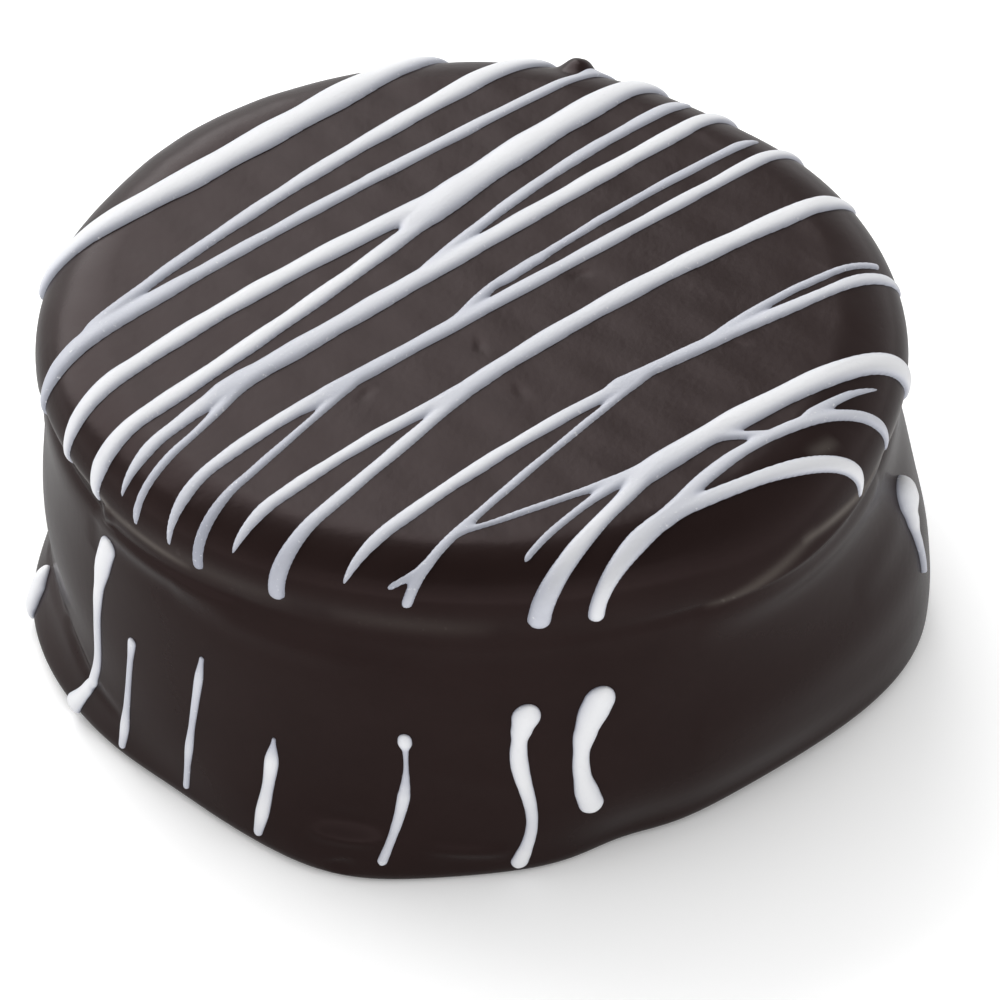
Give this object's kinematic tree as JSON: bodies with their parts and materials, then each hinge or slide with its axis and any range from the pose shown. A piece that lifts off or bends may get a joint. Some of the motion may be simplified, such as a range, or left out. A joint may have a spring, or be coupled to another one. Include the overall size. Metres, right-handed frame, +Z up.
{
  "type": "chocolate-coated alfajor",
  "caption": "Round sandwich biscuit in a dark chocolate coat, a rounded cap over a straight lower tier with a shallow waist, and thin white icing piped across the top.",
  "frame": {"origin": "middle of the box of the base, on the surface it rests on", "axes": "+Z up; -Y towards the picture's viewer; +X to the picture's right"},
  "size_m": [0.071, 0.0684, 0.0303],
  "materials": {
    "chocolate": "satin dark chocolate coat",
    "icing": "set white icing, soft gloss"
  },
  "bodies": {
    "root": {"alfajor": "chocolate"}
  },
  "joints": []
}
